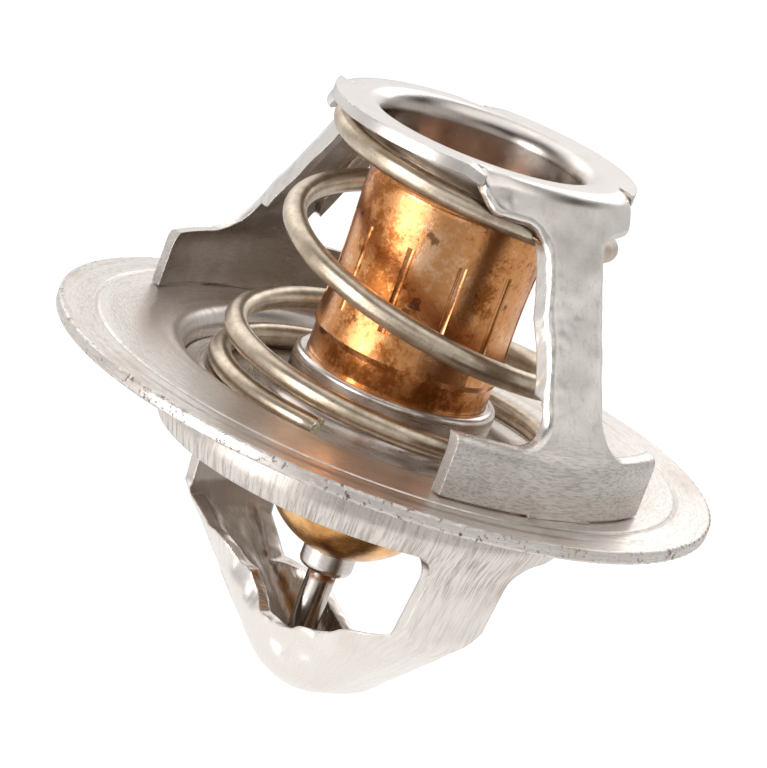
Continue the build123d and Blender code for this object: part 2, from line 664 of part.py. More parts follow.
def smooth_value(keys, turn):
    """Value of a smooth rising curve through a few keys, flat where its keys are equal."""
    for index in range(len(keys) - 1):
        low, high = keys[index], keys[index + 1]
        if turn <= high[0]:
            break

    def slope(i):
        if i <= 0 or i >= len(keys) - 1:
            return 0.0
        before = (keys[i][1] - keys[i - 1][1]) / (keys[i][0] - keys[i - 1][0])
        after = (keys[i + 1][1] - keys[i][1]) / (keys[i + 1][0] - keys[i][0])
        return 0.0 if before * after <= 0 else 2 * before * after / (before + after)

    span = high[0] - low[0]
    share = (turn - low[0]) / span
    start = low[1] * (1 + 2 * share) * (1 - share) ** 2 + slope(index) * span * share * (1 - share) ** 2
    end = high[1] * (3 - 2 * share) * share**2 - slope(index + 1) * span * (1 - share) * share**2
    return start + end


def spring_point(turn):
    """Centre of the wire after a number of turns, falling clockwise seen from above."""
    angle = radians(SPRING_START_ANGLE - 360 * turn)
    radius = SPRING_SEAT_RADIUS + (SPRING_TOP_RADIUS - SPRING_SEAT_RADIUS) * smooth_value(DRAW_RATIOS, turn)
    height = SPRING_FOOT + (SPRING_HEAD - SPRING_FOOT) * smooth_value(RISE_RATIOS, turn)
    return (radius * cos(angle), radius * sin(angle), height)


with BuildPart() as main_spring:
    steps = round(TURN_COUNT * TURN_POINT_COUNT)
    with BuildLine() as wire:
        Spline(*[spring_point(TURN_COUNT * step / steps) for step in range(steps + 1)])
    with BuildSketch(Plane(origin=wire.line @ 0, z_dir=wire.line % 0)):
        Circle(WIRE_RADIUS)
    sweep(path=wire.line)
main_spring.part.label = "main_spring"

os.makedirs("parts", exist_ok=True)
for piece in (
    flange_bridge,
    piston_rod,
    valve_plate,
    copper_cup,
    guide_body,
    steel_collar,
    backing_washer,
    rubber_boot,
    wax_charge,
    spring_yoke,
    main_spring,
):
    export_step(piece.part, f"parts/{piece.part.label}.step")
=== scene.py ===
"""Looks of an engine thermostat: worn stainless pressings, a copper capsule and a wound return spring.

Everything is in metres in the part's own frame. +Z runs along the piston towards the yoke's ring.
"""
from math import cos, pi, radians, sin

import bmesh
import bpy
from mathutils import Matrix, Vector, noise


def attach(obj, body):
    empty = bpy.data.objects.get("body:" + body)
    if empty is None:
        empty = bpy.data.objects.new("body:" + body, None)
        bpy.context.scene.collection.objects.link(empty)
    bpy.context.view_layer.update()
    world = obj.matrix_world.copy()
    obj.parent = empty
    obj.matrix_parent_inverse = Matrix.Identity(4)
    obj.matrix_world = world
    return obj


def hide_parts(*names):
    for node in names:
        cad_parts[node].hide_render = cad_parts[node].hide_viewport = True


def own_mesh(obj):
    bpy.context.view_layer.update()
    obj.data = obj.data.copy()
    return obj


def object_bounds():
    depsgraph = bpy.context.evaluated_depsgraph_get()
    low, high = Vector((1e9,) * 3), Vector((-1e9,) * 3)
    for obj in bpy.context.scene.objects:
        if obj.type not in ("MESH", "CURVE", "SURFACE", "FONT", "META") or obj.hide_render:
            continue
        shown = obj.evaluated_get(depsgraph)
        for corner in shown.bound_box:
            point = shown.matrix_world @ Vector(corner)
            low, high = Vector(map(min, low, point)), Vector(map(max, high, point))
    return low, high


MM = 0.001

# The offsets of noise_vector come from the clock unless a seed is set
NOISE_SEED = 5
noise.seed_set(NOISE_SEED)

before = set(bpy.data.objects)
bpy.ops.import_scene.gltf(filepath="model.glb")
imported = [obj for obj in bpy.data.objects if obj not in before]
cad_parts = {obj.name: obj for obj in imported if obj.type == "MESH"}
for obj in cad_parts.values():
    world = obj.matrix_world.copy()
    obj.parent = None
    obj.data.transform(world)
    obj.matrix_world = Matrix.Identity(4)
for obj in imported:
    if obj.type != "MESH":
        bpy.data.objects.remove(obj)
cad_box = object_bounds()

# Camera in degrees, metres and pixels, fitted to the flange, the capsule and the rod in the photograph
IMAGE_LONG_SIDE = 768
CAMERA_AZIMUTH = 47.0
CAMERA_ELEVATION = 14.889
CAMERA_ROLL = 20.613
CAMERA_SIDE = -0.726 * MM
CAMERA_BACK = 344.60 * MM
CAMERA_HEIGHT = 93.53 * MM
FOCAL_PIXELS = 4503.6
SENSOR = 36.0


def make_camera():
    """The photograph's camera, turned about its own line of sight as the photograph is."""
    azimuth = radians(CAMERA_AZIMUTH)
    elevation = radians(CAMERA_ELEVATION)
    roll = radians(CAMERA_ROLL)
    level_right = Vector((cos(azimuth), sin(azimuth), 0))
    away = Vector((-sin(azimuth), cos(azimuth), 0))
    back = -away * cos(elevation) + Vector((0, 0, sin(elevation)))
    level_up = back.cross(level_right)
    right = level_right * cos(roll) + level_up * sin(roll)
    up = level_up * cos(roll) - level_right * sin(roll)
    data = bpy.data.cameras.new("camera")
    data.sensor_width = SENSOR
    data.lens = FOCAL_PIXELS / IMAGE_LONG_SIDE * SENSOR
    data.clip_start = 10 * MM
    data.clip_end = 10.0
    camera = bpy.data.objects.new("camera", data)
    bpy.context.scene.collection.objects.link(camera)
    place = level_right * CAMERA_SIDE - away * CAMERA_BACK + Vector((0, 0, CAMERA_HEIGHT))
    turn = Matrix((right, up, back)).transposed().to_4x4()
    camera.matrix_world = Matrix.Translation(place) @ turn
    bpy.context.scene.camera = camera


class Graph:
    """Short calls that add shader nodes to one node tree. Values are sockets, numbers or colours."""

    def __init__(self, tree):
        self.tree = tree

    def put(self, value, socket):
        """Links a socket, or writes a number, vector or colour into it."""
        if isinstance(value, bpy.types.NodeSocket):
            self.tree.links.new(value, socket)
        elif isinstance(value, (tuple, list)) and len(value) == 3 and len(socket.default_value) == 4:
            socket.default_value = (*value, 1.0)
        else:
            socket.default_value = value

    def add(self, kind, inputs=None, **settings):
        node = self.tree.nodes.new(kind)
        for name, value in settings.items():
            setattr(node, name, value)
        for name, value in (inputs or {}).items():
            self.put(value, node.inputs[name])
        return node

    def math(self, operation, *values):
        node = self.add("ShaderNodeMath", operation=operation)
        for index, value in enumerate(values):
            self.put(value, node.inputs[index])
        return node.outputs[0]

    def plus(self, *values):
        """Sum of several values."""
        total = values[0]
        for value in values[1:]:
            total = self.math("ADD", total, value)
        return total

    def times(self, *values):
        """Product of several values."""
        product = values[0]
        for value in values[1:]:
            product = self.math("MULTIPLY", product, value)
        return product

    def vector(self, operation, *values, out=0):
        node = self.add("ShaderNodeVectorMath", operation=operation)
        for index, value in enumerate(values):
            self.put(value, node.inputs[index])
        return node.outputs[out]

    def join(self, x, y, z):
        return self.add("ShaderNodeCombineXYZ", {"X": x, "Y": y, "Z": z}).outputs[0]

    def mix(self, share, first, second):
        """Colour between two colours."""
        node = self.add("ShaderNodeMix", data_type="RGBA")
        self.put(share, node.inputs[0])
        self.put(first, node.inputs[6])
        self.put(second, node.inputs[7])
        return node.outputs[2]

    def blend(self, share, first, second):
        """Number between two numbers."""
        node = self.add("ShaderNodeMix", data_type="FLOAT")
        self.put(share, node.inputs[0])
        self.put(first, node.inputs[2])
        self.put(second, node.inputs[3])
        return node.outputs[0]

    def band(self, value, low, high, start=0.0, end=1.0):
        """Smooth step of a value from start at low to end at high."""
        node = self.add("ShaderNodeMapRange", interpolation_type="SMOOTHSTEP")
        for index, number in enumerate((value, low, high, start, end)):
            self.put(number, node.inputs[index])
        return node.outputs[0]

    def noise(self, place, scale, detail=4.0, roughness=0.55, out="Fac"):
        node = self.add("ShaderNodeTexNoise", {"Vector": place, "Scale": scale, "Detail": detail})
        node.inputs["Roughness"].default_value = roughness
        return node.outputs[out]

    def ramp(self, value, stops):
        """Colour of a value on a scale of places and colours."""
        node = self.add("ShaderNodeValToRGB", {"Fac": value})
        ramp = node.color_ramp
        while len(ramp.elements) < len(stops):
            ramp.elements.new(0.5)
        for element, (place, colour) in zip(ramp.elements, stops):
            element.position = place
            element.color = (*colour, 1.0)
        return node.outputs[0]

    def bump(self, height, distance, normal=None):
        node = self.add("ShaderNodeBump", {"Height": height, "Distance": distance})
        if normal is not None:
            self.put(normal, node.inputs["Normal"])
        return node.outputs[0]


# Cosine between the softened and the true normal, where an edge starts to show and where it is full
EDGE_STARTS = 0.995
EDGE_FULL = 0.85
BEVEL_SAMPLES = 4


class Finish(Graph):
    """A material, with the part's own coordinates in millimetres."""

    def __init__(self, name, metallic=1.0, edge_round=0.0):
        self.edge_round = edge_round
        self.material = bpy.data.materials.new(name)
        self.material.use_nodes = True
        super().__init__(self.material.node_tree)
        self.shader = self.tree.nodes["Principled BSDF"]
        self.shader.inputs["Metallic"].default_value = metallic
        self.place = self.vector("SCALE", self.add("ShaderNodeTexCoord").outputs["Object"])
        self.place.node.inputs["Scale"].default_value = 1 / MM
        split = self.add("ShaderNodeSeparateXYZ", {"Vector": self.place}).outputs
        self.x, self.y, self.z = split[0], split[1], split[2]
        self.radius = self.vector("LENGTH", self.join(self.x, self.y, 0.0), out=1)

    def outward(self):
        """Unit vector from the axis."""
        return self.vector("NORMALIZE", self.join(self.x, self.y, 0.0))

    def around(self, radius, stretch):
        """Coordinates on a cylinder of one radius, with its height squeezed so that marks run along Z."""
        spoke = self.vector("MULTIPLY", self.outward(), (radius, radius, 0.0))
        return self.vector("ADD", spoke, self.join(0.0, 0.0, self.times(self.z, stretch)))

    def rings(self, stretch):
        """Coordinates whose marks run round the axis: radius counts in full and the angle a little."""
        spun = self.add("ShaderNodeSeparateXYZ", {"Vector": self.outward()}).outputs
        across = self.plus(self.radius, self.z)
        return self.join(across, self.times(spun[0], stretch), self.times(spun[1], stretch))

    def stretched(self, x, y, z):
        """Coordinates squeezed or spread along each axis."""
        return self.vector("MULTIPLY", self.place, (x, y, z))

    def rounded(self, radius):
        """Normal that turns softly over edges, for a radius in millimetres."""
        return self.add("ShaderNodeBevel", {"Radius": radius * MM}, samples=BEVEL_SAMPLES).outputs[0]

    def edge(self, radius):
        """1 on edges sharper than a radius in millimetres, 0 on faces."""
        true = self.add("ShaderNodeNewGeometry").outputs["Normal"]
        same = self.vector("DOT_PRODUCT", self.rounded(radius), true, out=1)
        return self.band(same, EDGE_STARTS, EDGE_FULL)

    def inner_shade(self, low, high, share):
        """Share of painted shade on faces that look towards the axis, which the part's own walls shade."""
        normal = self.add("ShaderNodeNewGeometry").outputs["Normal"]
        facing = self.vector("DOT_PRODUCT", normal, self.outward(), out=1)
        return self.times(self.band(facing, -low, -high), share)

    def dress(self, colour, roughness, height, depth):
        """Sets colour, roughness and a relief of a depth in millimetres over softened edges."""
        normal = self.rounded(self.edge_round) if self.edge_round else None
        self.put(colour, self.shader.inputs["Base Color"])
        self.put(roughness, self.shader.inputs["Roughness"])
        self.put(self.bump(height, depth * MM, normal), self.shader.inputs["Normal"])
        return self.material


# Colours, as linear reflectances
STEEL_LIGHT = (0.80, 0.745, 0.70)
STEEL_WHITE = (0.93, 0.885, 0.84)
STEEL_MID = (0.60, 0.545, 0.50)
STEEL_DARK = (0.27, 0.235, 0.205)
STEEL_BROWN = (0.50, 0.37, 0.29)
# Painted shade for inward faces that the part shades itself
STEEL_INNER_SHADE = (0.30, 0.25, 0.21)
PIT_BROWN = (0.12, 0.085, 0.065)
WIRE_LIGHT = (0.71, 0.60, 0.475)
WIRE_DARK = (0.50, 0.405, 0.30)
CUT_METAL = (0.90, 0.84, 0.68)
COPPER_PALE = (0.93, 0.56, 0.33)
COPPER_ORANGE = (0.78, 0.36, 0.14)
COPPER_BROWN = (0.42, 0.14, 0.032)
COPPER_DARK = (0.17, 0.06, 0.025)
BRASS_LIGHT = (0.86, 0.50, 0.19)
BRASS_DARK = (0.52, 0.25, 0.08)
RUST = (0.30, 0.10, 0.04)
RUBBER_LIGHT = (0.05, 0.05, 0.05)
RUBBER_DARK = (0.02, 0.02, 0.02)
WASHER_LIGHT = (0.82, 0.81, 0.78)
WASHER_DARK = (0.70, 0.69, 0.66)
WAX_LIGHT = (0.58, 0.42, 0.28)
WAX_DARK = (0.40, 0.24, 0.14)

SKIRT = 17.55
RIM = 27.4
# Where a look sets in and where it is full, in millimetres from the axis
FLANGE = (SKIRT - 0.4, SKIRT + 0.8)
WORKED_RING = (23.6, 19.0)
SHEARED_RIM = (RIM - 0.40, RIM - 0.22)
COLLAR_BORE = (1.75, 1.35)
# The same in millimetres of height
SKIRT_TOP = (-0.8, -1.4)
SKIRT_FOOT = (-10.0, -5.6)
# Heights where the painted shade of the shell's inward faces sets in and is full
SHELL_INNER_SHADE = (-3.0, -6.5)
NOSE = (-13.0, -18.0)
YOKE_FOOT = (8.5, 5.0)
YOKE_LEG_FOOT = (5.0, 8.5)
YOKE_LEG_TOP = (20.5, 17.0)
# Heights where the painted shade of the yoke's inward faces sets in and is full
YOKE_INNER_SHADE = (23.35, 22.6)
CUP_FOOT = (5.5, 4.9)
# Painted light on the capsule's lower part
CUP_LIT_LOW = (11.0, 7.0)
CUP_SPOTTED = (6.0, 8.0)
# Painted shade on the capsule's upper part
CUP_SIDE_SHADE = (6.0, 12.0)
COLLAR_FACE = (-13.8, -14.2)
ROD_FOOT = (-20.0, -22.0)
ROD_TOP = (-15.2, -14.6)
# Side of the capsule that gets painted shade, away from the key lamp, and the millimetres towards it where
# the painted shade sets in and is full
SHADED_SIDE = (0.68, 0.73, 0.0)
SIDE_SHADE = (-1.0, 6.5)


def drawn_steel():
    """Flange with rings from its press tool, skirt and bridge with draw marks along the piston, painted shade
    on inward faces.
    """
    f = Finish("drawn_steel", edge_round=0.28)
    flange = f.band(f.radius, *FLANGE)
    skirt = f.times(f.band(f.z, *SKIRT_TOP), f.band(f.z, *SKIRT_FOOT))
    nose = f.band(f.z, *NOSE)
    cloud = f.noise(f.place, 0.13, 3.0, 0.5)
    rings = f.noise(f.rings(0.9), 1.6, 4.0, 0.55)
    fine_rings = f.noise(f.rings(2.6), 11.0, 3.0, 0.6)
    draws = f.noise(f.around(SKIRT, 0.13), 3.6, 4.0, 0.62)
    fine_draws = f.noise(f.around(SKIRT, 0.06), 8.0, 3.0, 0.6)
    drawn = f.plus(f.times(draws, 0.60), f.times(fine_draws, 0.40))
    turned = f.plus(f.times(rings, 0.35), f.times(fine_rings, 0.65))
    marks = f.blend(flange, drawn, turned)
    dark = f.band(marks, 0.56, 0.38)
    darkest = f.blend(flange, f.blend(skirt, 0.18, 0.95), 0.34)
    tone = f.mix(f.times(dark, darkest), STEEL_LIGHT, STEEL_DARK)
    worked = f.times(flange, f.band(f.radius, *WORKED_RING), f.band(rings, 0.40, 0.58, 0.10, 0.55))
    brown = f.plus(f.band(cloud, 0.50, 0.72, 0.0, 0.38), worked)
    tone = f.mix(brown, tone, STEEL_BROWN)
    tone = f.mix(f.times(skirt, 0.40), tone, STEEL_MID)
    tone = f.mix(f.times(nose, 0.8), tone, STEEL_LIGHT)
    # Painted shade: the shell's inward faces are darkened, a little unevenly by the cloud
    painted_shade = f.inner_shade(0.15, 0.6, f.band(f.z, *SHELL_INNER_SHADE))
    tone = f.mix(f.times(painted_shade, f.band(cloud, 0.65, 0.40, 0.7, 1.0)), tone, STEEL_INNER_SHADE)
    tone = f.mix(f.times(f.edge(0.25), 0.7), tone, STEEL_LIGHT)
    pits = f.noise(f.around(RIM, 0.9), 2.3, 6.0, 0.74)
    patch = f.band(f.noise(f.around(RIM, 1.0), 0.16, 3.0, 0.6), 0.40, 0.54)
    pitted = f.times(f.band(f.radius, *SHEARED_RIM), f.band(pits, 0.55, 0.63), f.blend(patch, 0.30, 1.0))
    colour = f.mix(f.times(pitted, 0.9), tone, PIT_BROWN)
    roughness = f.plus(f.blend(flange, f.blend(nose, 0.30, 0.22), 0.30), f.times(dark, 0.10))
    depth = f.blend(flange, f.blend(nose, f.blend(skirt, 0.45, 1.0), 0.2), 0.85)
    relief = f.plus(f.times(marks, depth), f.times(pitted, -1.6))
    return f.dress(colour, roughness, relief, 0.020)


def stamped_steel():
    """Rolled stainless sheet of the yoke, smooth with soft clouds, brushed feet, scuffed edges and painted
    shade on inward faces.
    """
    f = Finish("stamped_steel", edge_round=0.20)
    foot = f.band(f.z, *YOKE_FOOT)
    leg = f.times(f.band(f.z, *YOKE_LEG_TOP), f.band(f.z, *YOKE_LEG_FOOT))
    cloud = f.noise(f.place, 0.30, 4.0, 0.55)
    brushed = f.noise(f.stretched(5.0, 0.5, 5.0), 1.5, 4.0, 0.65)
    streaks = f.noise(f.stretched(1.0, 1.0, 0.07), 2.4, 4.0, 0.6)
    grain = f.noise(f.place, 5.0, 4.0, 0.7)
    dark = f.plus(
        f.times(foot, f.band(brushed, 0.42, 0.66, 0.10, 0.55)),
        f.times(f.band(grain, 0.56, 0.72), 0.22),
        f.times(leg, f.band(streaks, 0.50, 0.68), 0.16),
    )
    tone = f.mix(f.band(cloud, 0.46, 0.76, 0.0, 0.45), STEEL_LIGHT, STEEL_MID)
    tone = f.mix(f.times(leg, 0.6), tone, STEEL_WHITE)
    colour = f.mix(dark, tone, STEEL_DARK)
    scuffs = f.times(f.edge(0.22), f.band(f.noise(f.place, 3.4, 5.0, 0.7), 0.50, 0.60))
    colour = f.mix(f.times(f.edge(0.2), 0.5), colour, STEEL_LIGHT)
    colour = f.mix(f.times(scuffs, 0.75), colour, STEEL_DARK)
    # Painted shade: the yoke's inward faces below its ring top are darkened, a little unevenly by the cloud
    painted_shade = f.inner_shade(0.1, 0.5, f.band(f.z, *YOKE_INNER_SHADE))
    colour = f.mix(f.times(painted_shade, f.band(cloud, 0.65, 0.40, 0.6, 0.85)), colour, STEEL_INNER_SHADE)
    roughness = f.plus(f.blend(f.band(cloud, 0.35, 0.7), 0.18, 0.28), f.times(foot, 0.08))
    relief = f.plus(f.times(foot, brushed, 0.8), f.times(grain, 0.35), f.times(scuffs, -1.6))
    return f.dress(colour, roughness, relief, 0.018)


def spring_wire():
    """Satin nickel-grey wire, clouded, with small pits."""
    f = Finish("spring_wire")
    cloud = f.noise(f.place, 0.7, 4.0, 0.6)
    pits = f.noise(f.place, 6.0, 4.0, 0.65)
    tone = f.mix(f.band(cloud, 0.30, 0.70), WIRE_LIGHT, WIRE_DARK)
    colour = f.mix(f.band(pits, 0.56, 0.72, 0.0, 0.6), tone, PIT_BROWN)
    return f.dress(colour, f.blend(cloud, 0.27, 0.34), f.times(pits, -1.0), 0.010)


def cut_metal():
    """Bare crystalline metal where the wire was cropped."""
    f = Finish("cut_metal")
    grain = f.noise(f.place, 4.0, 5.0, 0.7)
    colour = f.mix(f.band(grain, 0.56, 0.70), CUT_METAL, STEEL_BROWN)
    return f.dress(colour, f.blend(grain, 0.22, 0.42), grain, 0.08)


def plate_steel():
    """Pressed valve plate with rings and brown clouds."""
    f = Finish("plate_steel")
    rings = f.noise(f.rings(0.5), 4.0, 5.0, 0.62)
    cloud = f.noise(f.place, 0.4, 3.0, 0.5)
    tone = f.mix(f.band(rings, 0.50, 0.34, 0.0, 0.6), STEEL_LIGHT, STEEL_DARK)
    colour = f.mix(f.band(cloud, 0.48, 0.70, 0.0, 0.6), tone, STEEL_BROWN)
    return f.dress(colour, f.blend(rings, 0.22, 0.34), rings, 0.014)


def copper():
    """Worn copper: bright skin under brown tarnish, with painted shade on one side, painted light on the
    other side and low down, and dark spots.
    """
    f = Finish("copper")
    warp = f.vector("ADD", f.place, f.noise(f.place, 0.5, 2.0, 0.5, out="Color"))
    broad = f.noise(f.vector("MULTIPLY", warp, (1.0, 1.0, 0.55)), 0.17, 4.0, 0.55)
    blotch = f.noise(f.place, 0.75, 6.0, 0.68)
    fine = f.noise(f.place, 3.4, 5.0, 0.7)
    towards_shade = f.vector("DOT_PRODUCT", f.place, SHADED_SIDE, out=1)
    patina_and_painted_light = f.plus(
        f.times(broad, 0.50),
        f.times(blotch, 0.32),
        f.times(fine, 0.18),
        # Painted light: the lower part is lightened, standing in for the reflection of the valve plate and
        # spring
        f.band(f.z, *CUP_LIT_LOW, 0.0, -0.045),
        f.times(f.band(f.z, *CUP_FOOT), 0.03),
        # Painted shade: the upper part darker towards the camera's right, away from the key lamp, and a
        # little lighter on the other side
        f.times(f.band(towards_shade, *SIDE_SHADE, -0.012, 0.05), f.band(f.z, *CUP_SIDE_SHADE)),
    )
    tone = f.ramp(patina_and_painted_light, [
        (0.39, COPPER_PALE),
        (0.45, COPPER_ORANGE),
        (0.485, COPPER_ORANGE),
        (0.54, COPPER_BROWN),
        (0.66, COPPER_DARK),
    ])
    spots = f.times(f.band(f.noise(f.place, 0.42, 5.0, 0.6), 0.62, 0.67), f.band(f.z, *CUP_SPOTTED))
    colour = f.mix(f.times(spots, 0.8), tone, COPPER_DARK)
    roughness = f.band(patina_and_painted_light, 0.38, 0.66, 0.17, 0.36)
    return f.dress(colour, roughness, f.plus(f.times(blotch, 0.7), f.times(fine, 0.5)), 0.03)


def brass():
    """Turned brass with brown tarnish."""
    f = Finish("brass")
    rings = f.noise(f.rings(0.5), 5.0, 4.0, 0.6)
    cloud = f.noise(f.place, 0.45, 5.0, 0.6)
    tone = f.mix(f.band(cloud, 0.36, 0.64), BRASS_LIGHT, BRASS_DARK)
    return f.dress(tone, f.blend(rings, 0.22, 0.34), rings, 0.012)


def rod_steel():
    """Ground rod with rust where it stands in the nose and where it enters the collar."""
    f = Finish("rod_steel")
    ends = f.plus(f.band(f.z, *ROD_FOOT), f.band(f.z, *ROD_TOP))
    rust = f.times(ends, f.band(f.noise(f.place, 1.6, 4.0, 0.65), 0.34, 0.58))
    streak = f.noise(f.stretched(1.0, 1.0, 0.12), 4.0, 3.0, 0.6)
    tone = f.mix(streak, STEEL_DARK, STEEL_LIGHT)
    return f.dress(f.mix(rust, tone, RUST), f.blend(rust, 0.18, 0.6), streak, 0.012)


def collar_steel():
    """Satin collar with a rust ring where the rod enters."""
    f = Finish("collar_steel")
    rings = f.noise(f.rings(0.4), 7.0, 4.0, 0.6)
    near_rod = f.times(f.band(f.radius, *COLLAR_BORE), f.band(f.z, *COLLAR_FACE))
    rust = f.times(near_rod, f.band(f.noise(f.place, 2.0, 4.0, 0.6), 0.30, 0.5))
    tone = f.mix(rings, STEEL_MID, STEEL_LIGHT)
    return f.dress(f.mix(rust, tone, RUST), f.blend(rust, 0.26, 0.6), rings, 0.012)


def soft_filling(name, light, dark, roughness):
    """Inner pieces that the capsule hides: rubber, washer and wax."""
    f = Finish(name, metallic=0.0)
    grain = f.noise(f.place, 3.0, 5.0, 0.6)
    return f.dress(f.mix(grain, dark, light), roughness, grain, 0.03)


FINISHES = {
    "flange_bridge": drawn_steel(),
    "spring_yoke": stamped_steel(),
    "main_spring": spring_wire(),
    "valve_plate": plate_steel(),
    "copper_cup": copper(),
    "guide_body": brass(),
    "piston_rod": rod_steel(),
    "steel_collar": collar_steel(),
    "rubber_boot": soft_filling("rubber", RUBBER_LIGHT, RUBBER_DARK, 0.7),
    "backing_washer": soft_filling("washer", WASHER_LIGHT, WASHER_DARK, 0.5),
    "wax_charge": soft_filling("wax", WAX_LIGHT, WAX_DARK, 0.55),
}
for name, material in FINISHES.items():
    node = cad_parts[name]
    node.data.materials.clear()
    node.data.materials.append(material)
    for polygon in node.data.polygons:
        polygon.use_smooth = True


# Dents of the pressings: centre, half the reach and push, all in millimetres
BRIDGE_DENTS = [
    ((-12.9, -4.6, -14.6), 1.5, (-0.25, -0.25, 0.15)),
    ((-7.6, -4.5, -14.8), 1.7, (0.0, -0.45, 0.55)),
    ((-4.6, -4.5, -16.0), 1.3, (0.0, 0.30, -0.35)),
    ((-1.4, -4.5, -16.9), 1.1, (0.2, 0.45, -0.45)),
    ((0.6, -4.5, -18.2), 1.0, (0.0, -0.50, 0.20)),
    ((3.1, -4.6, -18.1), 0.9, (0.0, -0.55, 0.35)),
    ((5.4, -4.6, -17.2), 1.0, (0.0, -0.45, 0.40)),
    ((4.0, -4.8, -19.4), 1.1, (0.0, 0.45, 0.0)),
    ((6.6, -4.8, -18.6), 0.8, (0.0, 0.35, 0.0)),
    ((10.1, -4.5, -14.9), 1.2, (0.0, -0.40, 0.30)),
    ((-8.4, 4.4, -18.2), 1.6, (0.0, -0.65, 0.70)),
    ((-4.6, 4.4, -17.2), 1.2, (0.0, 0.40, -0.30)),
    ((0.8, 4.4, -19.4), 1.4, (0.0, -0.35, 0.50)),
    ((7.4, 4.4, -18.0), 1.5, (0.0, 0.35, 0.30)),
]
YOKE_DENTS = [
    ((10.2, -7.6, 23.3), 1.3, (0.1, -0.35, -0.50)),
    ((12.0, -7.5, 22.6), 1.2, (-0.3, 0.40, -0.25)),
    ((13.3, -7.3, 21.6), 1.1, (0.2, -0.40, -0.35)),
    ((14.6, -6.2, 20.6), 1.0, (-0.2, 0.35, 0.30)),
    ((15.4, -2.9, 15.0), 1.8, (-0.15, -0.20, 0.0)),
    ((19.0, -2.9, 9.0), 1.3, (0.10, -0.30, 0.0)),
    ((-10.4, 7.5, 23.2), 1.5, (0.0, 0.30, -0.45)),
    ((-14.0, -6.8, 21.0), 1.3, (0.0, -0.35, -0.25)),
    ((-18.0, -3.0, 10.5), 1.8, (0.10, -0.30, 0.20)),
]

# Share of each push that is used
DENT_DEPTH = 0.75
# Longest edges of the meshes in millimetres: at a dent, where a pressing is worked, and elsewhere
DENT_EDGE = 0.35
BRIDGE_EDGE = 0.9
YOKE_EDGE = 0.8
PLAIN_EDGE = 60.0
SPLIT_ROUNDS = 7
MERGE_DISTANCE = 0.002
# Unevenness: waves to the millimetre of the swell and of the ripple on it, and the ripple's share
SWELL = 0.45
RIPPLE = 1.5
RIPPLE_SHARE = 0.35
CREASE_DEGREES = 32


def dented(point, dents):
    """How far the dents push a point."""
    move = Vector((0, 0, 0))
    for centre, reach, push in dents:
        away = (point - Vector(centre)).length / reach
        if away < 2:
            move += Vector(push) * DENT_DEPTH * (1 - (away / 2) ** 2) ** 3
    return move


def split_edges(bm, longest):
    """Halves the edges that are longer than longest(middle), over and over, for a few rounds at most."""
    for _ in range(SPLIT_ROUNDS):
        split = []
        for edge in bm.edges:
            middle = (edge.verts[0].co + edge.verts[1].co) / (2 * MM)
            if edge.calc_length() / MM > longest(middle):
                split.append(edge)
        if not split:
            break
        bmesh.ops.subdivide_edges(bm, edges=split, cuts=1)
        bmesh.ops.triangulate(bm, faces=[face for face in bm.faces if len(face.verts) > 3])


def worked_copy(node, name, dents, coarse, waver):
    """A pressing as it is after its press tool and some wear: the node's mesh, split finer near its dents
    and where coarse(point) says, pushed there, and a little uneven where waver(point) says."""
    bm = bmesh.new()
    bm.from_mesh(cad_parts[node].data)
    bmesh.ops.remove_doubles(bm, verts=bm.verts, dist=MERGE_DISTANCE * MM)

    def longest(point):
        near = any((point - Vector(centre)).length < 2 * reach for centre, reach, _ in dents)
        return min(coarse(point), DENT_EDGE) if near else coarse(point)

    split_edges(bm, longest)
    for vertex in bm.verts:
        point = vertex.co / MM
        move = noise.noise_vector(point * SWELL) * waver(point)
        move += noise.noise_vector(point * RIPPLE) * waver(point) * RIPPLE_SHARE
        vertex.co = (point + move + dented(point, dents)) * MM
    mesh = bpy.data.meshes.new(name)
    bm.to_mesh(mesh)
    bm.free()
    if "custom_normal" in mesh.attributes:
        mesh.attributes.remove(mesh.attributes["custom_normal"])
    mesh.materials.clear()
    mesh.materials.append(FINISHES[node])
    for polygon in mesh.polygons:
        polygon.use_smooth = True
        polygon.material_index = 0
    mesh.set_sharp_from_angle(angle=radians(CREASE_DEGREES))
    copy = bpy.data.objects.new(name, mesh)
    bpy.context.scene.collection.objects.link(copy)
    weighted = copy.modifiers.new("weighted", "WEIGHTED_NORMAL")
    weighted.keep_sharp = True
    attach(copy, "frame")
    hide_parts(node)


def ramped(value, low, high):
    """0 below low, 1 above high, straight between them; high may be the lower one."""
    return min(max((value - low) / (high - low), 0.0), 1.0)


# Greatest unevenness of each pressing, and the stretches in which it sets in and is full
BRIDGE_WAVER = 0.11
BRIDGE_WORKED_TOP = -11.5
BRIDGE_WAVER_TOP = (-12.0, -14.5)
NOSE_LOWEST = -23.31
NOSE_WAVER = (NOSE_LOWEST, NOSE_LOWEST + 3.0)
YOKE_WAVER = 0.10
YOKE_WORKED_OUTSIDE = 10.0
YOKE_WORKED_HEIGHT = (7.0, 23.0)
YOKE_WAVER_OUTSIDE = (10.5, 12.5)
YOKE_WAVER_FOOT = (7.0, 9.0)
YOKE_WAVER_TOP = (23.3, 22.0)


def bridge_edge(point):
    """Longest edge of the bridge's mesh at a point."""
    return BRIDGE_EDGE if point.z < BRIDGE_WORKED_TOP else PLAIN_EDGE


def bridge_waver(point):
    """Unevenness of the bridge's strips, none on the skirt and at the nose's lowest point."""
    return BRIDGE_WAVER * ramped(point.z, *BRIDGE_WAVER_TOP) * ramped(point.z, *NOSE_WAVER)


def yoke_edge(point):
    """Longest edge of the yoke's mesh at a point."""
    low, high = YOKE_WORKED_HEIGHT
    return YOKE_EDGE if abs(point.x) > YOKE_WORKED_OUTSIDE and low < point.z < high else PLAIN_EDGE


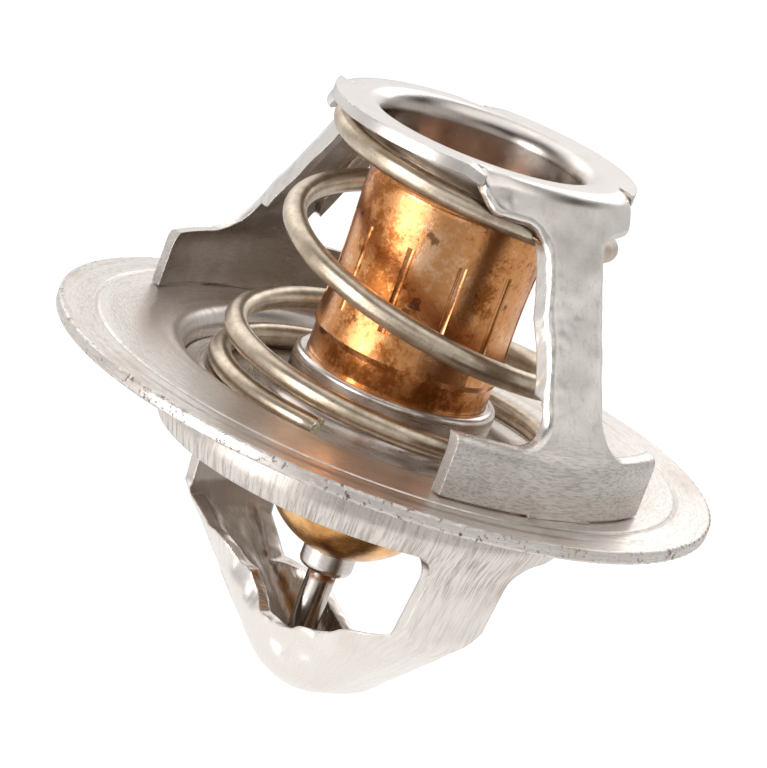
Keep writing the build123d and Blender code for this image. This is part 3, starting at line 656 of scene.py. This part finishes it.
def yoke_waver(point):
    """Unevenness of the yoke's legs, none on its feet and its ring."""
    along = ramped(point.z, *YOKE_WAVER_FOOT) * ramped(point.z, *YOKE_WAVER_TOP)
    return YOKE_WAVER * along * ramped(abs(point.x), *YOKE_WAVER_OUTSIDE)


worked_copy("flange_bridge", "pressed_frame", BRIDGE_DENTS, bridge_edge, bridge_waver)
worked_copy("spring_yoke", "pressed_yoke", YOKE_DENTS, yoke_edge, yoke_waver)


# Return spring, on the wire's own path: turns against ratios of its rise and of its draw-in
WIRE_RADIUS = 0.95
SPRING_START_ANGLE = -61.4
TURN_COUNT = 3.72
SPRING_FOOT = 0.18
SPRING_HEAD = 21.72
SPRING_SEAT_RADIUS = 13.85
SPRING_TOP_RADIUS = 10.85
RISE_RATIOS = [(0.0, 0.0), (0.3, 0.0), (1.0, 0.108), (1.4, 0.185), (1.8, 0.36), (2.2, 0.61),
               (2.7, 0.85), (3.0, 0.95), (3.35, 1.0), (4.1, 1.0)]
DRAW_RATIOS = [(0.0, 0.0), (0.9, 0.04), (1.4, 0.2), (1.8, 0.38), (2.2, 0.58), (2.7, 0.66),
               (3.1, 0.98), (3.4, 1.0), (4.1, 1.0)]
STEPS_A_TURN = 72
WIRE_SIDES = 24
# Cropped ends: rings of the break, its first ring's share of the wire, its hollow, grain, roughness and lip,
# and the fall, spacing and number of the grain's octaves
CUT_RINGS = 5
CUT_START = 0.97
CUT_HOLLOW = 0.10
CUT_GRAIN = 1.7
CUT_ROUGHNESS = 0.30
CUT_LIP = 0.22
CUT_OCTAVES = (0.6, 2.0, 4)


def smooth_value(keys, turn):
    """Value of a smooth rising curve through a few keys, flat where its keys are equal."""
    for index in range(len(keys) - 1):
        low, high = keys[index], keys[index + 1]
        if turn <= high[0]:
            break

    def slope(i):
        """Slope at a key, flat at the ends and where the curve would turn back."""
        if i <= 0 or i >= len(keys) - 1:
            return 0.0
        before = (keys[i][1] - keys[i - 1][1]) / (keys[i][0] - keys[i - 1][0])
        after = (keys[i + 1][1] - keys[i][1]) / (keys[i + 1][0] - keys[i][0])
        return 0.0 if before * after <= 0 else 2 * before * after / (before + after)

    span = high[0] - low[0]
    share = (turn - low[0]) / span
    start = low[1] * (1 + 2 * share) * (1 - share) ** 2 + slope(index) * span * share * (1 - share) ** 2
    end = high[1] * (3 - 2 * share) * share**2 - slope(index + 1) * span * (1 - share) * share**2
    return start + end


def spring_point(turn):
    """Centre of the wire after a number of turns, falling clockwise seen from above."""
    angle = radians(SPRING_START_ANGLE - 360 * turn)
    radius = SPRING_SEAT_RADIUS + (SPRING_TOP_RADIUS - SPRING_SEAT_RADIUS) * smooth_value(DRAW_RATIOS, turn)
    height = SPRING_FOOT + (SPRING_HEAD - SPRING_FOOT) * smooth_value(RISE_RATIOS, turn)
    return Vector((radius * cos(angle), radius * sin(angle), height))


def make_spring():
    """Round wire on its path, with a rough break at each cropped end."""
    steps = round(TURN_COUNT * STEPS_A_TURN)
    centres = [spring_point(TURN_COUNT * step / steps) for step in range(steps + 1)]
    points, faces, cut_faces = [], [], []

    def ring(centre, along, radius, ragged=0):
        """Adds the points of one ring and gives the first one's index. A ragged ring stands out unevenly."""
        out = Vector((centre.x, centre.y, 0)).normalized()
        up = along.cross(out).normalized()
        out = up.cross(along)
        first = len(points)
        for side in range(WIRE_SIDES):
            turn = 2 * pi * side / WIRE_SIDES
            spoke = out * cos(turn) + up * sin(turn)
            point = centre + spoke * radius
            if ragged:
                rough = noise.fractal(point * CUT_GRAIN, *CUT_OCTAVES) * CUT_ROUGHNESS
                lip = CUT_LIP * spoke.dot(up)
                point += along * ragged * (rough + lip)
            points.append(point * MM)
        return first

    def band(first, second, store):
        """Adds the faces between two rings."""
        for side in range(WIRE_SIDES):
            after = (side + 1) % WIRE_SIDES
            store.append((first + side, first + after, second + after, second + side))

    def cut_end(centre, beyond, last, sign):
        """Break over one end: rings that close in from the wire's last one. The sign is -1 at the start."""
        for index in range(1, CUT_RINGS + 1):
            share = CUT_START if index == 1 else 1 - index / (CUT_RINGS + 1)
            start = ring(centre, beyond * sign, WIRE_RADIUS * share, ragged=sign)
            pair = (start, last) if sign < 0 else (last, start)
            band(*pair, cut_faces)
            last = start
        tip = len(points)
        points.append((centre - beyond * CUT_HOLLOW) * MM)
        for side in range(WIRE_SIDES):
            after = (side + 1) % WIRE_SIDES
            pair = (last + after, last + side) if sign < 0 else (last + side, last + after)
            cut_faces.append((*pair, tip))

    for step, centre in enumerate(centres):
        along = (centres[min(step + 1, steps)] - centres[max(step - 1, 0)]).normalized()
        start = ring(centre, along, WIRE_RADIUS)
        if step:
            band(previous, start, faces)
        previous = start
    cut_end(centres[0], (centres[0] - centres[1]).normalized(), 0, -1)
    cut_end(centres[-1], (centres[-1] - centres[-2]).normalized(), previous, 1)
    mesh = bpy.data.meshes.new("return_spring")
    mesh.from_pydata(points, [], faces + cut_faces)
    mesh.materials.append(FINISHES["main_spring"])
    mesh.materials.append(cut_metal())
    for index, polygon in enumerate(mesh.polygons):
        polygon.use_smooth = index < len(faces)
        polygon.material_index = int(index >= len(faces))
    spring = bpy.data.objects.new("return_spring", mesh)
    bpy.context.scene.collection.objects.link(spring)
    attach(spring, "frame")
    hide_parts("main_spring")
    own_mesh(spring)


make_spring()
make_camera()

# Soft boxes of the room: azimuth from the camera's, elevation and half width in degrees, and strength
SOFT_BOXES = [
    (0, 12, 34, 0.80),
    (50, 12, 34, 0.35),
    (90, 12, 34, 0.75),
    (135, 12, 34, 0.60),
    (180, 12, 34, 0.85),
    (-135, 12, 34, 1.10),
    (-90, 12, 34, 0.50),
    (-50, 12, 30, 1.90),
    (50, 45, 36, 0.60),
    (180, 45, 36, 0.35),
    (-135, 45, 36, 1.00),
    (0, 85, 40, 1.00),
]
ROOM = (0.070, 0.066, 0.062)
WHITE = (1.0, 1.0, 1.0)
# Lamps: name, azimuth from the camera's, elevation in degrees, distance and width in metres, and watts
LAMPS = [
    ("key", -50, 18, 0.6, 0.16, 1.0),
    ("rim", 160, 35, 0.6, 0.30, 0.4),
]
# Floor: half width and depth under the part in metres, and its colours to the camera and to other light
FLOOR_REACH = 3.0
FLOOR_DROP = 0.030
FLOOR_SEEN = (0.3, 0.3, 0.3)
FLOOR_PLAIN = (0.62, 0.61, 0.60)
# Floor's glow to the camera, and in reflections near the part; where near ends, in metres; and the glow
# beyond it by side, as azimuth from the camera's, half width in degrees and strength
FLOOR_GLOW = 0.84
FLOOR_NEAR = 0.85
NEAR_ENDS = (0.08, 0.18)
FLOOR_SIDES = [(0, 90, 0.15), (90, 90, 0.35), (180, 90, 0.30), (-90, 90, 0.45), (-52, 26, 2.7)]


def compass(azimuth, elevation):
    """Unit vector towards an azimuth counted from the camera's and an elevation."""
    a, e = radians(CAMERA_AZIMUTH + azimuth), radians(elevation)
    return Vector((sin(a) * cos(e), -cos(a) * cos(e), sin(e)))


class Studio(Graph):
    """Nodes of the room and the floor."""

    def soft_box(self, direction, azimuth, elevation, width, strength):
        """Light towards one side: full in its middle and none beyond its half width."""
        facing = self.vector("DOT_PRODUCT", direction, tuple(compass(azimuth, elevation)), out=1)
        return self.band(facing, cos(radians(width)), 1.0, 0.0, strength)


def make_world():
    """White to the camera, and to metal a dim room with soft boxes."""
    world = bpy.data.worlds.new("studio")
    bpy.context.scene.world = world
    world.use_nodes = True
    g = Studio(world.node_tree)
    direction = g.add("ShaderNodeTexCoord").outputs["Generated"]
    light = g.plus(*[g.soft_box(direction, *box) for box in SOFT_BOXES])
    room = g.vector("ADD", ROOM, g.join(light, light, light))
    path = g.add("ShaderNodeLightPath").outputs
    g.put(g.mix(path["Is Camera Ray"], room, WHITE), g.tree.nodes["Background"].inputs["Color"])


def make_lamp(name, azimuth, elevation, distance, size, power):
    """Soft square lamp aimed at the middle of the part."""
    out = compass(azimuth, elevation)
    data = bpy.data.lights.new(name, "AREA")
    data.size = size
    data.energy = power
    lamp = bpy.data.objects.new(name, data)
    bpy.context.scene.collection.objects.link(lamp)
    lamp.location = out * distance
    lamp.rotation_mode = "QUATERNION"
    lamp.rotation_quaternion = out.to_track_quat("Z", "Y")


def make_floor():
    """Pale floor a little below the part: white to the camera, and in reflections pale near the part and
    lit by side farther off, as a table in a dim room."""
    mesh = bpy.data.meshes.new("floor")
    corners = [(x * FLOOR_REACH, y * FLOOR_REACH, 0) for x, y in ((-1, -1), (1, -1), (1, 1), (-1, 1))]
    mesh.from_pydata(corners, [], [(0, 1, 2, 3)])
    floor = bpy.data.objects.new("floor", mesh)
    floor.location = (0, 0, cad_box[0].z - FLOOR_DROP)
    bpy.context.scene.collection.objects.link(floor)
    material = bpy.data.materials.new("floor")
    material.use_nodes = True
    g = Studio(material.node_tree)
    g.tree.nodes.remove(g.tree.nodes["Principled BSDF"])
    place = g.add("ShaderNodeNewGeometry").outputs["Position"]
    flat = g.vector("MULTIPLY", place, (1.0, 1.0, 0.0))
    reach = g.vector("LENGTH", flat, out=1)
    away = g.vector("NORMALIZE", flat)
    far = g.plus(*[g.soft_box(away, azimuth, 0, width, strength) for azimuth, width, strength in FLOOR_SIDES])
    reflected = g.blend(g.band(reach, *NEAR_ENDS), FLOOR_NEAR, far)
    path = g.add("ShaderNodeLightPath").outputs
    strength = g.blend(path["Is Camera Ray"], reflected, FLOOR_GLOW)
    glow = g.add("ShaderNodeEmission", {"Color": WHITE, "Strength": strength}).outputs[0]
    diffuse = g.add("ShaderNodeBsdfDiffuse", {"Color": FLOOR_SEEN}).outputs[0]
    shade = g.add("ShaderNodeAddShader", {0: diffuse, 1: glow}).outputs[0]
    plain = g.add("ShaderNodeBsdfDiffuse", {"Color": FLOOR_PLAIN}).outputs[0]
    seen = g.math("MAXIMUM", path["Is Camera Ray"], path["Is Glossy Ray"])
    mix = g.add("ShaderNodeMixShader", {0: seen, 1: plain, 2: shade}).outputs[0]
    g.put(mix, g.tree.nodes["Material Output"].inputs["Surface"])
    mesh.materials.append(material)


make_world()
for lamp in LAMPS:
    make_lamp(*lamp)
make_floor()

bpy.context.scene.view_settings.view_transform = "Standard"
